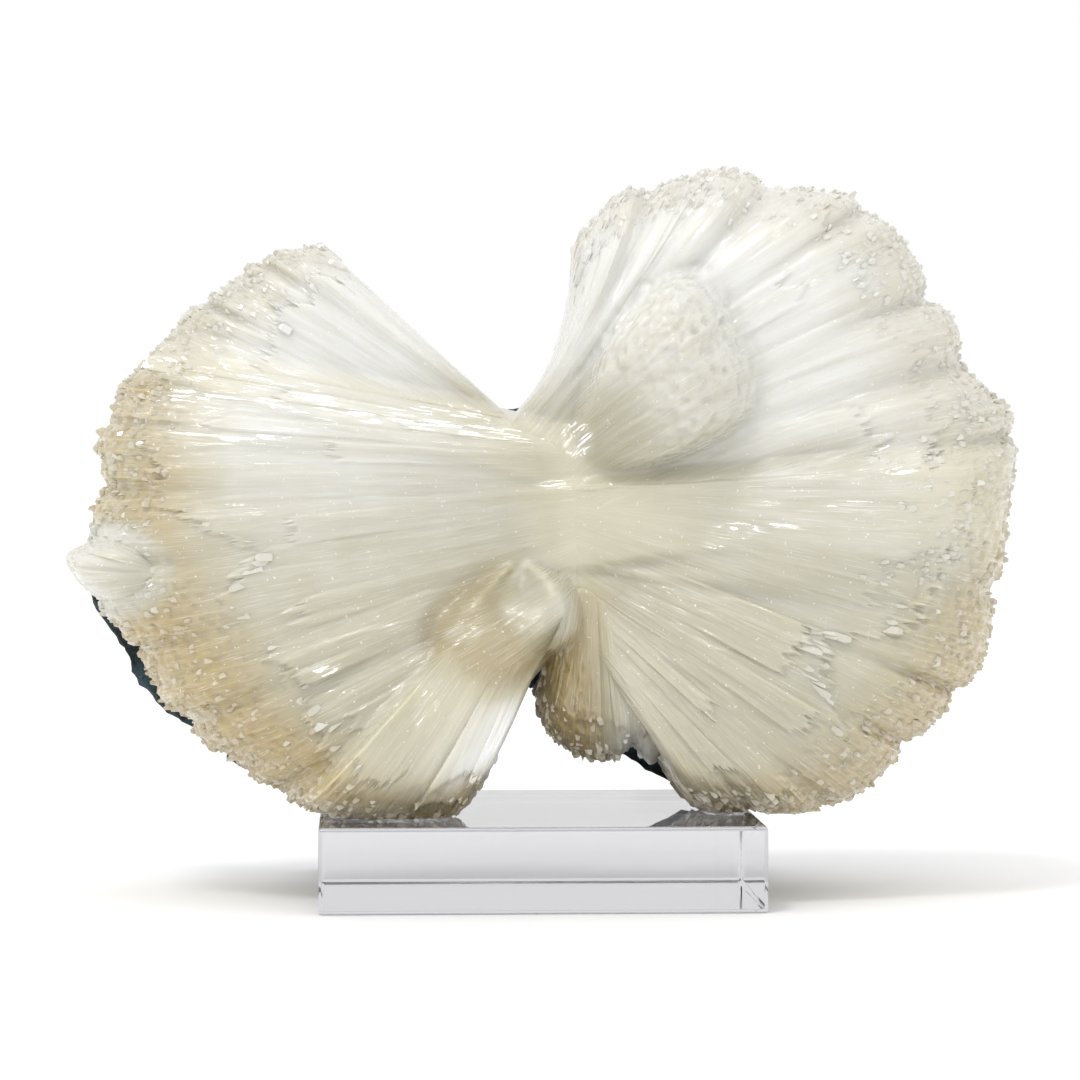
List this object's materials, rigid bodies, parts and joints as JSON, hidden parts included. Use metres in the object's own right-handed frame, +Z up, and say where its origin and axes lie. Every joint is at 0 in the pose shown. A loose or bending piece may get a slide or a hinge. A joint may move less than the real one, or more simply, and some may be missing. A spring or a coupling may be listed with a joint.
{
  "type": "stilbite crystal specimen on a clear stand",
  "caption": "Bow-tie spray of cream stilbite crystals on a thin crust of dark rock, standing loose on a square clear acrylic block.",
  "frame": {"origin": "middle of the whole object's box, at the underside of the clear block", "axes": "+X to the right as seen from the front, +Y away from the viewer towards the rock crust, +Z up"},
  "size_m": [0.145, 0.066, 0.1113],
  "materials": {
    "stilbite_crystal": "translucent, pearly to glassy",
    "dark_rock": "rough, matt",
    "clear_acrylic": "clear, polished"
  },
  "bodies": {
    "root": {"stilbite": "stilbite_crystal", "matrix": "dark_rock", "stand": "clear_acrylic"}
  },
  "joints": []
}
